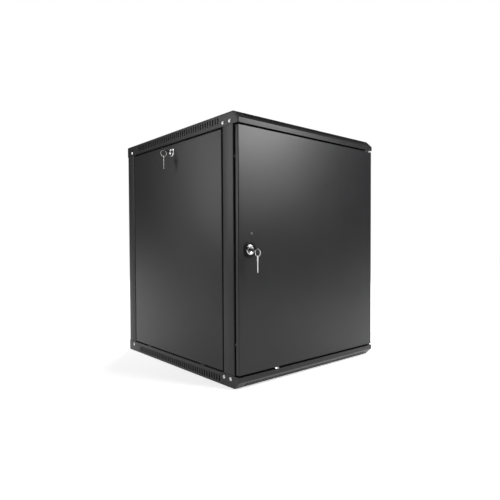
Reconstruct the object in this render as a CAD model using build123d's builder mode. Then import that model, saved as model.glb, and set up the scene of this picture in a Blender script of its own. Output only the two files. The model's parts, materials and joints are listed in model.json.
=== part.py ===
"""Wall-mounted 19 inch network cabinet, 15 rack units high.

Frame: +Z up, +X to the right and +Y towards the wall, seen from the front. The origin is at floor level
in the middle of the 600 x 645 mm footprint. All sizes are in millimetres.
"""
from build123d import *
from math import sqrt
import os

# Overall size
WIDTH = 600.0
DEPTH = 645.0
HEIGHT = 745.0
SHEET = 1.2
HALF_W = WIDTH / 2
FRONT = -DEPTH / 2
REAR = DEPTH / 2

# Roof and floor pans: flat plate, side skirts, slanted brow and lip
SKIRT = 34.5
BROW_RUN = 22.0
BROW_DROP = 21.0
LIP_FLANGE = 18.0
SLOT_PITCH = 12.0
SLOT_WIDTH = 5.4
SIDE_SLOTS = 40
SIDE_SLOT_LENGTH = 19.0
SIDE_SLOT_DEPTH = 16.0
BROW_SLOTS = 45
BROW_SLOT_LENGTH = 17.0
FAN_X = 130.0
FAN_HOLE_PITCH = 105.0
FAN_VENT_R = 56.0
FAN_SLOT_PITCH = 10.0
FAN_SCREW_R = 2.25
ENTRY_LENGTH = 300.0
ENTRY_WIDTH = 70.0
ENTRY_Y = 240.0
ENTRY_SCREW_X = ENTRY_LENGTH + 20.0
ENTRY_SCREW_Y = 50.0
ENTRY_SCREW_R = 2.05
FOOT_HOLE_R = 4.5
FOOT_PITCH_X = 480.0
FOOT_PITCH_Y = 460.0

# Posts, side panels and door
POST_X = HALF_W - SHEET
POST_FRONT = -299.5
POST_SIDE = 47.0
POST_REAR = REAR - SHEET
POST_FRONT_X = 276.0
POST_REAR_X = 262.0
POST_INNER_X = 283.0
PANEL_SHEET = 1.0
PANEL_X = HALF_W - 0.5
PANEL_FRONT = -249.0
PANEL_REAR = 270.5
PANEL_FLANGE = 14.0
GAP = 4.0
BAY_LOW = SKIRT + GAP
BAY_HIGH = HEIGHT - SKIRT - GAP
HOOK_Y = (-150.0, 170.0)
HOOK_HALF = 9.0
HOOK_LOW = 26.0
HOOK_SHOULDER_X = HALF_W - SHEET + 0.2
HOOK_TONGUE_X = HALF_W - SHEET - 0.3
HOOK_BACK_X = HALF_W - 3.0
DOOR_X = 299.0
DOOR_FRONT = FRONT + 2.0
DOOR_BACK = DOOR_FRONT + 13.0
HINGE_X = 289.0
HINGE_Y = -314.0
CLIP_X = -158.0
CLIP_HALF = 7.5
PIN_R = 3.0
RUN = 0.05

# 19 inch rails: square holes at +-232.55 mm, three per rack unit
RACK_UNIT = 44.45
UNITS = 15
RAIL_HOLE_X = 232.55
RAIL_HOLE = 9.5
RAIL_INNER_X = 225.3
RAIL_OUTER_X = 246.2
RAIL_SHEET = 1.8
RAIL_DEPTH = 40.0
RAIL_LOW = 12.0
RAIL_HIGH = HEIGHT - RAIL_LOW
FRONT_RAIL_Y = -240.0
REAR_RAIL_Y = 200.0
BOLT_Z = 22.0
BOLT_BACK = 22.0
BEAM_FLAT = 3.0
BEAM_EDGE = 45.0
BEAM_OUTER_X = 285.2

# Locks
LOCK_BODY_R = 9.5
LOCK_FACE_R = 14.0
PLUG_R = 6.0
SIDE_LOCK_Y = 11.0
SIDE_LOCK_Z = 682.5
DOOR_LOCK_X = -260.0
DOOR_LOCK_Z = 375.0
MARK_X = -253.5
MARK_RISE = 44.0
MARK_R = 4.0
MARK_H = 0.6
ROSETTE_R = 22.5
ROSETTE_H = 3.0
CAM_THICK = 2.0
CAM_LENGTH = 30.0
KEY_THICK = 1.6
BOW_R = 9.5
BOW_OUT = 18.5
EYE_OUT = 23.2
EYE_R = 3.0
RING_R = 10.0
WIRE_R = 0.8
RING_OUT = 29.2
RING_DROP = 7.6
SPARE_DROP = 19.5
SIDE_SPARE_TIP = 36.0
DOOR_SPARE_TIP = 41.0

SCREW_HEAD_R = 5.0
SCREW_HEAD_H = 2.6
SCREW_Z = 24.5
SCREW_SIDE_Y = (-285.5, -256.0, 285.0)
SCREW_REAR_X = 285.0
WALL_HOLE_R = 4.5
WALL_HOLE_Z = 60.0

os.makedirs("parts", exist_ok=True)


def save(piece, label):
    """Name a finished piece and write it to its own STEP file."""
    piece.label = label
    export_step(piece, f"parts/{label}.step")


def box(x0, x1, y0, y1, z0, z1, mode=Mode.ADD):
    """A block between two corners, in the active part."""
    with Locations(((x0 + x1) / 2, (y0 + y1) / 2, (z0 + z1) / 2)):
        Box(abs(x1 - x0), abs(y1 - y0), abs(z1 - z0), mode=mode)


def rod(plane, radius, length, mode=Mode.ADD):
    """A cylinder that starts on a plane and runs along its normal, or against it if length is negative."""
    base = (Align.CENTER, Align.CENTER, Align.MIN if length > 0 else Align.MAX)
    with Locations(plane):
        Cylinder(radius, abs(length), align=base, mode=mode)


def along(origin, direction, x_dir=None):
    """A plane at a point, with its normal along a direction."""
    return Plane(origin=origin, x_dir=x_dir, z_dir=direction)


# ---- roof and floor pans -------------------------------------------------
def pan_profile(inset):
    """Closed side view of a pan with the plate up, moved inwards by the sheet's thickness."""
    top = HEIGHT - inset
    corner = inset * 0.414
    bottom = HEIGHT - SKIRT - (1.0 if inset else 0.0)
    Polyline(
        (FRONT + inset, bottom),
        (FRONT + inset, HEIGHT - BROW_DROP - corner),
        (FRONT + BROW_RUN + corner, top),
        (REAR - inset, top),
        (REAR - inset, bottom),
        close=True,
    )


def pan(is_roof):
    """A folded pan. It is drawn as the roof, and turned over for the floor."""
    slant = Plane(
        origin=(0, FRONT + BROW_RUN, HEIGHT), x_dir=(1, 0, 0), z_dir=(0, -BROW_DROP, BROW_RUN)
    )
    plate = Plane.XY.offset(HEIGHT + 1)
    with BuildPart() as part:
        with BuildSketch(Plane.YZ):
            with BuildLine():
                pan_profile(0)
            make_face()
        extrude(amount=HALF_W, both=True)
        with BuildSketch(Plane.YZ):
            with BuildLine():
                pan_profile(SHEET)
            make_face()
        extrude(amount=HALF_W - SHEET, both=True, mode=Mode.SUBTRACT)
        lip = HEIGHT - SKIRT
        box(-HALF_W + SHEET, HALF_W - SHEET, FRONT, FRONT + LIP_FLANGE, lip, lip + SHEET)
        # ventilation slots in both side skirts
        with BuildSketch(Plane.YZ):
            with Locations((0, HEIGHT - SIDE_SLOT_DEPTH)):
                with GridLocations(SLOT_PITCH, 0, SIDE_SLOTS, 1):
                    SlotOverall(SIDE_SLOT_LENGTH, SLOT_WIDTH, rotation=90)
        extrude(amount=HALF_W + 1, both=True, mode=Mode.SUBTRACT)
        # ventilation slots down the slanted brow
        with BuildSketch(slant.offset(1)):
            with Locations((0, -3.0 - BROW_SLOT_LENGTH / 2)):
                with GridLocations(SLOT_PITCH, 0, BROW_SLOTS, 1):
                    SlotOverall(BROW_SLOT_LENGTH, SLOT_WIDTH, rotation=90)
        extrude(amount=-4, mode=Mode.SUBTRACT)
        # two fan places: parallel slots in a circle, and four screw holes
        with BuildSketch(plate):
            for side in (-1, 1):
                for step in range(-5, 6):
                    off = step * FAN_SLOT_PITCH
                    reach = 2 * sqrt(FAN_VENT_R**2 - off**2)
                    with Locations((side * FAN_X + off, 0)):
                        SlotOverall(reach, SLOT_WIDTH, rotation=90)
                with Locations((side * FAN_X, 0)):
                    with GridLocations(FAN_HOLE_PITCH, FAN_HOLE_PITCH, 2, 2):
                        Circle(FAN_SCREW_R)
            # cable entry at the rear, and the screw holes of its cover
            with Locations((0, ENTRY_Y)):
                RectangleRounded(ENTRY_LENGTH, ENTRY_WIDTH, 8)
                with GridLocations(ENTRY_SCREW_X, ENTRY_SCREW_Y, 2, 2):
                    Circle(ENTRY_SCREW_R)
            if not is_roof:
                with GridLocations(FOOT_PITCH_X, FOOT_PITCH_Y, 2, 2):
                    Circle(FOOT_HOLE_R)
        extrude(amount=-4, mode=Mode.SUBTRACT)
        # corner screw holes, and the hinge pin's hole in the lip flange
        for spot, direction in screw_spots():
            rod(along(spot, direction), PIN_R, -3, mode=Mode.SUBTRACT)
        rod(Plane((HINGE_X, HINGE_Y, lip - 1)), PIN_R + RUN, 4, mode=Mode.SUBTRACT)
    return part.part if is_roof else upside_down(part.part)


def upside_down(shape):
    """Mirror a shape in the cabinet's middle height."""
    return mirror(shape, about=Plane.XY.offset(HEIGHT / 2))


def screw_spots():
    """Face point and outward direction of the roof's corner screws."""
    z = HEIGHT - SCREW_Z
    spots = []
    for side in (-1, 1):
        for y in SCREW_SIDE_Y:
            spots.append(((side * HALF_W, y, z), (side, 0, 0)))
        spots.append(((side * SCREW_REAR_X, REAR, z), (0, 1, 0)))
    return spots


save(pan(True), "roof_panel")
save(pan(False), "floor_panel")


# ---- corner posts --------------------------------------------------------
def post(side, front):
    """A folded channel post that stands inside both pans. side is -1 on the left."""
    y0, y1 = (POST_FRONT, POST_FRONT + POST_SIDE) if front else (POST_REAR - POST_SIDE, POST_REAR)
    face_y, inner_y = (y0, y1) if front else (y1, y0)
    face_x = POST_FRONT_X if front else POST_REAR_X
    with BuildPart() as part:
        with BuildSketch(Plane.XY.offset(SHEET)):
            with BuildLine():
                Polyline(
                    (side * face_x, face_y),
                    (side * POST_X, face_y),
                    (side * POST_X, inner_y),
                    (side * POST_INNER_X, inner_y),
                )
                outward = (front and side > 0) or (not front and side < 0)
                offset(amount=SHEET, side=Side.LEFT if outward else Side.RIGHT, kind=Kind.INTERSECTION)
            make_face()
        extrude(amount=HEIGHT - 2 * SHEET)
        for z0, z1 in ((SHEET, SKIRT), (HEIGHT - SKIRT, HEIGHT - SHEET)):
            toe = (inner_y, inner_y + 12.0) if front else (inner_y - 12.0, inner_y)
            box(side * (POST_X - SHEET), side * POST_X, toe[0], toe[1], z0, z1)
        for spot, direction in screw_spots():
            for z in (spot[2], HEIGHT - spot[2]):
                place = along((spot[0], spot[1], z), direction)
                rod(place, PIN_R, -9, mode=Mode.SUBTRACT)
        if not front:
            for z in (WALL_HOLE_Z, HEIGHT - WALL_HOLE_Z):
                wall_hole = along((side * SCREW_REAR_X, REAR, z), (0, 1, 0))
                rod(wall_hole, WALL_HOLE_R, -6, mode=Mode.SUBTRACT)
    return part.part


for name, side, front in (
    ("front_left_post", -1, True),
    ("front_right_post", 1, True),
    ("rear_left_post", -1, False),
    ("rear_right_post", 1, False),
):
    save(post(side, front), name)

with BuildPart() as corner_screws:
    for spot, direction in screw_spots():
        for z in (spot[2], HEIGHT - spot[2]):
            place = along((spot[0], spot[1], z), direction)
            with BuildSketch(place):
                Circle(SCREW_HEAD_R)
            extrude(amount=SCREW_HEAD_H, taper=12)
            rod(place, PIN_R, -8)
save(corner_screws.part, "corner_screws")

# ---- side beams that carry the rails -------------------------------------
BEAM_Y0 = POST_FRONT + POST_SIDE
BEAM_Y1 = POST_REAR - POST_SIDE


def beam(side, upper):
    """A channel that runs from the front post to the rear post, open towards the bay's middle height."""
    flat = HEIGHT - BEAM_FLAT if upper else BEAM_FLAT
    edge = HEIGHT - BEAM_EDGE if upper else BEAM_EDGE
    turn = Side.RIGHT if (side > 0) == upper else Side.LEFT
    with BuildPart() as part:
        with BuildSketch(Plane.XZ.offset(-BEAM_Y1)):
            with BuildLine():
                Polyline(
                    (side * RAIL_OUTER_X, edge),
                    (side * RAIL_OUTER_X, flat),
                    (side * BEAM_OUTER_X, flat),
                    (side * BEAM_OUTER_X, edge),
                )
                offset(amount=SHEET, side=turn, kind=Kind.INTERSECTION)
            make_face()
        extrude(amount=BEAM_Y1 - BEAM_Y0)
        # slots for the rails' bolts
        z = HEIGHT - BOLT_Z if upper else BOLT_Z
        with BuildSketch(Plane.YZ.offset(side * (RAIL_OUTER_X + 4))):
            with Locations((-175.0, z), (165.0, z)):
                SlotOverall(140.0, 6.4)
        extrude(amount=-side * 8, mode=Mode.SUBTRACT)
    return part.part


for name, side, upper in (
    ("top_left_beam", -1, True),
    ("top_right_beam", 1, True),
    ("bottom_left_beam", -1, False),
    ("bottom_right_beam", 1, False),
):
    save(beam(side, upper), name)


# ---- 19 inch rails -------------------------------------------------------
def rail(side, face_y):
    """An angle with square holes, three per rack unit, bolted to the beams' inner webs."""
    first = (HEIGHT - UNITS * RACK_UNIT) / 2
    with BuildPart() as part:
        face = (side * RAIL_INNER_X, side * RAIL_OUTER_X)
        box(face[0], face[1], face_y, face_y + RAIL_SHEET, RAIL_LOW, RAIL_HIGH)
        web = (side * (RAIL_OUTER_X - RAIL_SHEET), side * RAIL_OUTER_X)
        box(web[0], web[1], face_y, face_y + RAIL_DEPTH, RAIL_LOW, RAIL_HIGH)
        with BuildSketch(Plane.XZ.offset(-face_y - RAIL_SHEET - 1)):
            for unit in range(UNITS):
                for step in (6.35, 22.225, 38.1):
                    with Locations((side * RAIL_HOLE_X, first + unit * RACK_UNIT + step)):
                        Rectangle(RAIL_HOLE, RAIL_HOLE)
        extrude(amount=RAIL_SHEET + 2, mode=Mode.SUBTRACT)
        for z in (BOLT_Z, HEIGHT - BOLT_Z):
            place = along((side * (RAIL_OUTER_X + 1), face_y + BOLT_BACK, z), (-side, 0, 0))
            rod(place, PIN_R, 4, mode=Mode.SUBTRACT)
    return part.part


RAILS = (
    ("front_left_rail", -1, FRONT_RAIL_Y),
    ("front_right_rail", 1, FRONT_RAIL_Y),
    ("rear_left_rail", -1, REAR_RAIL_Y),
    ("rear_right_rail", 1, REAR_RAIL_Y),
)
for name, side, face_y in RAILS:
    save(rail(side, face_y), name)

with BuildPart() as rail_bolts:
    for name, side, face_y in RAILS:
        for z in (BOLT_Z, HEIGHT - BOLT_Z):
            place = along((side * (RAIL_OUTER_X - RAIL_SHEET), face_y + BOLT_BACK, z), (-side, 0, 0))
            rod(place, 5.5, 4)
            rod(place, PIN_R, -10)
save(rail_bolts.part, "rail_bolts")

with BuildPart() as rail_nuts:
    for name, side, face_y in RAILS:
        for z in (BOLT_Z, HEIGHT - BOLT_Z):
            with BuildSketch(along((side * (RAIL_OUTER_X + SHEET), face_y + BOLT_BACK, z), (side, 0, 0))):
                RegularPolygon(5.0, 6, major_radius=False)
                Circle(PIN_R, mode=Mode.SUBTRACT)
            extrude(amount=5)
save(rail_nuts.part, "rail_nuts")

# ---- rear panel ----------------------------------------------------------
REAR_SHEET_Y = POST_REAR - SHEET - 1.0
REAR_SLOT_Z = 640.0
REAR_SCREWS = [(side * 268.5, z) for side in (-1, 1) for z in (100.0, HEIGHT / 2, HEIGHT - 100.0)]
with BuildPart() as rear_panel:
    with BuildSketch(Plane.XZ.offset(-REAR_SHEET_Y - 1.0)):
        with Locations((0, HEIGHT / 2)):
            Rectangle(550.0, HEIGHT - 20.0)
        with Locations((0, REAR_SLOT_Z)):
            RectangleRounded(ENTRY_LENGTH, 60.0, 8, mode=Mode.SUBTRACT)
        with Locations(*REAR_SCREWS):
            Circle(2.0, mode=Mode.SUBTRACT)
    extrude(amount=1.0)
save(rear_panel.part, "rear_panel")

with BuildPart() as rear_panel_screws:
    for x, z in REAR_SCREWS:
        inner = along((x, REAR_SHEET_Y, z), (0, -1, 0))
        rod(inner, 4.0, 2.4)
        rod(inner, 2.0, -1.0)
save(rear_panel_screws.part, "rear_panel_screws")


# ---- cable entry covers --------------------------------------------------
def entry_cover(upper):
    """A flat cover over a cable entry, on the inner face of its pan."""
    with BuildPart() as part:
        with BuildSketch(Plane.XY.offset(HEIGHT - 2 * SHEET)):
            with Locations((0, ENTRY_Y)):
                RectangleRounded(ENTRY_LENGTH + 36, ENTRY_WIDTH + 14, 6)
                with GridLocations(ENTRY_SCREW_X, ENTRY_SCREW_Y, 2, 2):
                    Circle(ENTRY_SCREW_R, mode=Mode.SUBTRACT)
        extrude(amount=SHEET)
    return part.part if upper else upside_down(part.part)


save(entry_cover(True), "roof_cable_cover")
save(entry_cover(False), "floor_cable_cover")

with BuildPart() as cover_screws:
    for z, up in ((HEIGHT - 2 * SHEET, 1), (2 * SHEET, -1)):
        for x in (-ENTRY_SCREW_X / 2, ENTRY_SCREW_X / 2):
            for y in (ENTRY_Y - ENTRY_SCREW_Y / 2, ENTRY_Y + ENTRY_SCREW_Y / 2):
                rod(along((x, y, z), (0, 0, -up)), 3.5, 2.2)
                rod(along((x, y, z), (0, 0, up)), ENTRY_SCREW_R, 2 * SHEET)
save(cover_screws.part, "cover_screws")


# ---- side panels ---------------------------------------------------------
def side_panel(side):
    """A folded tray with its open side inwards, and one hole for its lock."""
    with BuildPart() as part:
        outer = side * PANEL_X
        box(outer, outer - side * PANEL_FLANGE, PANEL_FRONT, PANEL_REAR, BAY_LOW, BAY_HIGH)
        box(
            outer - side * PANEL_SHEET,
            outer - side * (PANEL_FLANGE + 1),
            PANEL_FRONT + PANEL_SHEET,
            PANEL_REAR - PANEL_SHEET,
            BAY_LOW + PANEL_SHEET,
            BAY_HIGH - PANEL_SHEET,
            mode=Mode.SUBTRACT,
        )
        hole = along((side * HALF_W, SIDE_LOCK_Y, SIDE_LOCK_Z), (-side, 0, 0))
        rod(hole, LOCK_BODY_R + RUN, 4, mode=Mode.SUBTRACT)
    return part.part


def panel_hooks(side):
    """Two hooks that stand on the floor pan's side skirt and reach down behind it."""
    with BuildPart() as part:
        for y in HOOK_Y:
            ends = (y - HOOK_HALF, y + HOOK_HALF)
            box(side * HOOK_SHOULDER_X, side * HOOK_BACK_X, *ends, SKIRT, BAY_LOW)
            box(side * HOOK_TONGUE_X, side * HOOK_BACK_X, *ends, HOOK_LOW, SKIRT)
    return part.part


save(side_panel(-1), "left_side_panel")
save(side_panel(1), "right_side_panel")
save(panel_hooks(-1), "left_panel_hooks")
save(panel_hooks(1), "right_panel_hooks")

# ---- front door ----------------------------------------------------------
BOTTOM_PIN_LOW = 29.5
with BuildPart() as front_door:
    box(-DOOR_X, DOOR_X, DOOR_FRONT, DOOR_BACK, BAY_LOW, BAY_HIGH)
    box(
        -DOOR_X + SHEET, DOOR_X - SHEET, DOOR_FRONT + SHEET, DOOR_BACK - SHEET,
        BAY_LOW + SHEET, BAY_HIGH - SHEET, mode=Mode.SUBTRACT,
    )
    # the folded edge leaves a return 10 mm wide around the open back
    box(
        -DOOR_X + 11, DOOR_X - 16, DOOR_BACK - SHEET - 1, DOOR_BACK + 1,
        BAY_LOW + 11, BAY_HIGH - 11, mode=Mode.SUBTRACT,
    )
    for z in (BAY_LOW - 1, BAY_HIGH - SHEET - 1):
        rod(Plane((HINGE_X, HINGE_Y, z)), PIN_R + RUN, SHEET + 2, mode=Mode.SUBTRACT)
    lock_hole = along((DOOR_LOCK_X, DOOR_FRONT - 1, DOOR_LOCK_Z), (0, 1, 0))
    rod(lock_hole, LOCK_BODY_R + RUN, 4, mode=Mode.SUBTRACT)
save(front_door.part, "front_door")

# Hat-section stiffener behind the door's skin
with BuildPart() as door_stiffener:
    crown = DOOR_FRONT + 12
    box(-45, 45, DOOR_FRONT + SHEET, crown, 60, HEIGHT - 60)
    box(-31.8, 31.8, DOOR_FRONT + SHEET - 1, crown - SHEET, 59, HEIGHT - 59, mode=Mode.SUBTRACT)
    for side in (-1, 1):
        box(side * 33, side * 46, DOOR_FRONT + 2 * SHEET, crown + 1, 59, HEIGHT - 59, mode=Mode.SUBTRACT)
save(door_stiffener.part, "door_stiffener")

# Rubber buffers on the door's latch side
with BuildPart() as door_buffers:
    for z in (120.0, HEIGHT - 120.0):
        rod(along((-DOOR_X + 5.5, DOOR_BACK, z), (0, 1, 0)), 4.0, 6.0)
save(door_buffers.part, "door_buffers")

# Plain raised disc above the door's lock
with BuildPart() as door_mark:
    rod(along((MARK_X, DOOR_FRONT, DOOR_LOCK_Z + MARK_RISE), (0, -1, 0)), MARK_R, MARK_H)
save(door_mark.part, "door_mark")

# Zinc rest clip that hooks over the floor pan's lip and carries the closed door
with BuildPart() as door_rest_clip:
    sides = (CLIP_X - CLIP_HALF, CLIP_X + CLIP_HALF)
    box(*sides, FRONT + 0.6, FRONT + 12, SKIRT, SKIRT + 1.0)
    box(*sides, FRONT + 2.0, FRONT + 12, SKIRT + 1.0, BAY_LOW - 0.3)
save(door_rest_clip.part, "door_rest_clip")

# ---- door hinge: a sprung pin above, a fixed pin below --------------------
BUSH_LOW, BUSH_HIGH = 672.0, BAY_HIGH - SHEET
BUSH_R = 5.2
CAVITY_R = 4.15
SPRING_LOW, SPRING_HIGH = BUSH_LOW + 4, 692.0
STEM_R = 2.0
KNOB_LOW = 650.0
PIN_TOP = 714.0
with BuildPart() as hinge_bush:
    rod(Plane((HINGE_X, HINGE_Y, BUSH_LOW)), BUSH_R, BUSH_HIGH - BUSH_LOW)
    cavity = SPRING_HIGH + 2 + RUN - SPRING_LOW
    rod(Plane((HINGE_X, HINGE_Y, SPRING_LOW)), CAVITY_R, cavity, mode=Mode.SUBTRACT)
    rod(Plane((HINGE_X, HINGE_Y, BUSH_LOW - 1)), STEM_R + RUN, 6, mode=Mode.SUBTRACT)
    rod(Plane((HINGE_X, HINGE_Y, SPRING_LOW)), PIN_R + RUN, 40, mode=Mode.SUBTRACT)
save(hinge_bush.part, "hinge_bush")

with BuildPart() as top_hinge_pin:
    rod(Plane((HINGE_X, HINGE_Y, SPRING_HIGH)), PIN_R, PIN_TOP - SPRING_HIGH)
    rod(Plane((HINGE_X, HINGE_Y, SPRING_HIGH)), CAVITY_R - 0.1, 2.0)
    rod(Plane((HINGE_X, HINGE_Y, KNOB_LOW)), STEM_R, SPRING_HIGH - KNOB_LOW)
    rod(Plane((HINGE_X, HINGE_Y, KNOB_LOW)), 4.0, 5.0)
    chamfer(top_hinge_pin.edges().group_by(Axis.Z)[-1], 0.8)
save(top_hinge_pin.part, "top_hinge_pin")

WIRE = 0.45
COIL_R = 3.2
coil_height = SPRING_HIGH - SPRING_LOW - 2 * WIRE - 0.1
with BuildPart() as hinge_spring:
    with BuildLine() as coil:
        Helix(pitch=coil_height / 6, height=coil_height, radius=COIL_R)
    with BuildSketch(Plane(origin=coil.line @ 0, z_dir=coil.line % 0)):
        Circle(WIRE)
    sweep()
save(Pos(HINGE_X, HINGE_Y, SPRING_LOW + WIRE + 0.05) * hinge_spring.part, "hinge_spring")

with BuildPart() as bottom_hinge_pin:
    box(HINGE_X - 6, DOOR_X - SHEET, HINGE_Y - BUSH_R, HINGE_Y + 5, BAY_LOW + SHEET, BAY_LOW + 14)
    rod(Plane((HINGE_X, HINGE_Y, BOTTOM_PIN_LOW)), PIN_R, 15)
    chamfer(bottom_hinge_pin.edges().group_by(Axis.Z)[0], 0.8)
save(bottom_hinge_pin.part, "bottom_hinge_pin")

with BuildPart() as hinge_washer:
    rod(Plane((HINGE_X, HINGE_Y, SKIRT)), 6.0, GAP)
    rod(Plane((HINGE_X, HINGE_Y, SKIRT)), PIN_R + RUN, GAP, mode=Mode.SUBTRACT)
save(hinge_washer.part, "hinge_washer")


# ---- cam locks -----------------------------------------------------------
# A lock is drawn with the back of its face on the XY plane. +Z points out of the cabinet, +Y points down,
# and the key's bow lies in the XZ plane.
def lock_housing(depth):
    """The fixed barrel with its round face."""
    with BuildPart() as part:
        rod(Plane.XY, LOCK_FACE_R, 2.0)
        chamfer(part.edges().group_by(Axis.Z)[-1], 0.6)
        rod(Plane.XY, LOCK_BODY_R, -depth)
        rod(Plane.XY.offset(3), PLUG_R + RUN, -depth - 4, mode=Mode.SUBTRACT)
    return part.part


def lock_nut(start):
    """The hexagon nut that clamps the barrel from inside."""
    with BuildPart() as part:
        with BuildSketch(Plane.XY.offset(-start)):
            RegularPolygon(12.0, 6, major_radius=False)
            Circle(LOCK_BODY_R, mode=Mode.SUBTRACT)
        extrude(amount=-4.0)
    return part.part


def lock_plug(depth):
    """The turning plug, with its keyway and the round neck that carries the cam."""
    with BuildPart() as part:
        rod(Plane.XY.offset(2.5), PLUG_R, -depth - 2.7)
        rod(Plane.XY.offset(-depth), 4.0, -CAM_THICK - 0.2)
        box(-3.5, 3.5, -1.1, 1.1, -12.0, 3.0, mode=Mode.SUBTRACT)
    return part.part


def lock_cam(depth):
    """A flat tongue on the plug's end, pointing down."""
    with BuildPart() as part:
        with BuildSketch(Plane.XY.offset(-depth - 0.2)):
            Circle(8.0)
            with Locations((0, CAM_LENGTH / 2)):
                Rectangle(14.0, CAM_LENGTH)
            Circle(4.0, mode=Mode.SUBTRACT)
        extrude(amount=-CAM_THICK)
    return part.part


def cam_screw(depth):
    """The screw head that holds the cam."""
    with BuildPart() as part:
        rod(Plane.XY.offset(-depth - 0.2 - CAM_THICK), 6.0, -2.4)
    return part.part


def key(tip):
    """A flat key along +Z with a round bow, an eye, and its blade's end at height tip."""
    with BuildPart() as part:
        with BuildSketch(Plane.XZ.offset(-KEY_THICK / 2)):
            with Locations((0, BOW_OUT)):
                Circle(BOW_R)
            with Locations((0, (BOW_OUT + tip) / 2)):
                Rectangle(6.4, BOW_OUT - tip)
            with Locations((0, EYE_OUT)):
                Circle(EYE_R, mode=Mode.SUBTRACT)
        extrude(amount=KEY_THICK)
    return part.part


def lock(prefix, place, depth, nut_start, cam_turn):
    """Write one lock's pieces. place is the lock's own frame on the cabinet."""
    where = place.location
    save(where * lock_housing(depth), f"{prefix}_lock_housing")
    save(where * lock_nut(nut_start), f"{prefix}_lock_nut")
    save(where * lock_plug(depth), f"{prefix}_lock_plug")
    save(where * Rot(0, 0, cam_turn) * lock_cam(depth), f"{prefix}_lock_cam")
    save(where * cam_screw(depth), f"{prefix}_cam_screw")


def keys(prefix, place, ring_axis, spare_turn, spare_tip):
    """Write the key in the plug, the ring through its eye and the spare key that hangs on the ring.

    spare_tip is the reach of the spare key's blade below its eye.
    """
    save(place.location * key(-9.0), f"{prefix}_key")
    ring_at = place.origin + place.z_dir * RING_OUT - Vector(0, 0, RING_DROP)
    ring = Plane(origin=ring_at, z_dir=ring_axis).location * Torus(RING_R, WIRE_R)
    save(ring, f"{prefix}_key_ring")
    eye_at = place.origin + place.z_dir * RING_OUT - Vector(0, 0, SPARE_DROP + EYE_OUT)
    hung_key = Pos(*eye_at) * Rot(0, 0, spare_turn) * key(EYE_OUT - spare_tip)
    save(hung_key, f"{prefix}_spare_key")


LEFT_LOCK = Plane(origin=(-PANEL_X, SIDE_LOCK_Y, SIDE_LOCK_Z), x_dir=(0, 1, 0), z_dir=(-1, 0, 0))
RIGHT_LOCK = Plane(origin=(PANEL_X, SIDE_LOCK_Y, SIDE_LOCK_Z), x_dir=(0, -1, 0), z_dir=(1, 0, 0))
DOOR_LOCK = Plane(
    origin=(DOOR_LOCK_X, DOOR_FRONT - ROSETTE_H, DOOR_LOCK_Z), x_dir=(-1, 0, 0), z_dir=(0, -1, 0)
)
SIDE_LOCK_DEPTH = 16.5
DOOR_LOCK_DEPTH = 25.8
lock("left", LEFT_LOCK, SIDE_LOCK_DEPTH, PANEL_SHEET, 90)
lock("right", RIGHT_LOCK, SIDE_LOCK_DEPTH, PANEL_SHEET, 90)
lock("door", DOOR_LOCK, DOOR_LOCK_DEPTH, ROSETTE_H + SHEET, 0)
keys("left", LEFT_LOCK, (0, 1, 0), 59, SIDE_SPARE_TIP)
keys("door", DOOR_LOCK, (1, 0, 0), 40, DOOR_SPARE_TIP)

with BuildPart() as door_lock_rosette:
    base = along((DOOR_LOCK_X, DOOR_FRONT, DOOR_LOCK_Z), (0, -1, 0))
    rod(base, ROSETTE_R, ROSETTE_H)
    chamfer(door_lock_rosette.edges().group_by(Axis.Y)[0], 1.2)
    rod(base, LOCK_BODY_R, ROSETTE_H, mode=Mode.SUBTRACT)
save(door_lock_rosette.part, "door_lock_rosette")
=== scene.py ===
"""Looks for a wall-mounted network cabinet: folded, powder-coated sheet metal, zinc screws and chrome locks.

Metres, +Z up, the door faces -Y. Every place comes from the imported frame's boxes.
"""
import json
import math
import bmesh
import bpy
from mathutils import Matrix, Vector


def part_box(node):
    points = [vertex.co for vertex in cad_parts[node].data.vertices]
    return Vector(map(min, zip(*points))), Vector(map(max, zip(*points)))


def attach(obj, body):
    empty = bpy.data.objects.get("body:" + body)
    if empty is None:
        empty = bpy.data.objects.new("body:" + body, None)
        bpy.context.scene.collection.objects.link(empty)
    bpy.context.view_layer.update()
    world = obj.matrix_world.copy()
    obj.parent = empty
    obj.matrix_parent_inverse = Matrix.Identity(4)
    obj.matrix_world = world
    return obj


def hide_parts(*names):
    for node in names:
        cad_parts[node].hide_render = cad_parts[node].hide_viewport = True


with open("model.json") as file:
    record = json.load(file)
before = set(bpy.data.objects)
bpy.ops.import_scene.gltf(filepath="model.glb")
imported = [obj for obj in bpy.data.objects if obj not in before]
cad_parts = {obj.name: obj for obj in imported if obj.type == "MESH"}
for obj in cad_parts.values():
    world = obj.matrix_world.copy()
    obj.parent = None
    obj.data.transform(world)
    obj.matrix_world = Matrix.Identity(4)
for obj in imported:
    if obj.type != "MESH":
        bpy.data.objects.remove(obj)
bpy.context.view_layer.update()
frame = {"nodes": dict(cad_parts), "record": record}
BODY_OF = {node: body for body, nodes in frame["record"]["behaviour"]["bodies"].items() for node in nodes}

# Sheet metal
SHEET = 0.0012
PANEL_SHEET = 0.0010
RAIL_SHEET = 0.0018
BEND = 0.0026
BEND_STEPS = 5
BROW_RUN = 0.022
BROW_DROP = 0.021
LIP_FLANGE = 0.018
SLOT_PITCH = 0.012
SLOT_WIDTH = 0.0054
RACK_UNIT = 0.04445
UNITS = 15


# ---- frame places --------------------------------------------------------
def low(node):
    """Lowest corner of a CAD node."""
    return Vector(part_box(node)[0])


def high(node):
    """Highest corner of a CAD node."""
    return Vector(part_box(node)[1])


def middle(node):
    """Centre of a CAD node's box."""
    return (low(node) + high(node)) / 2


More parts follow.
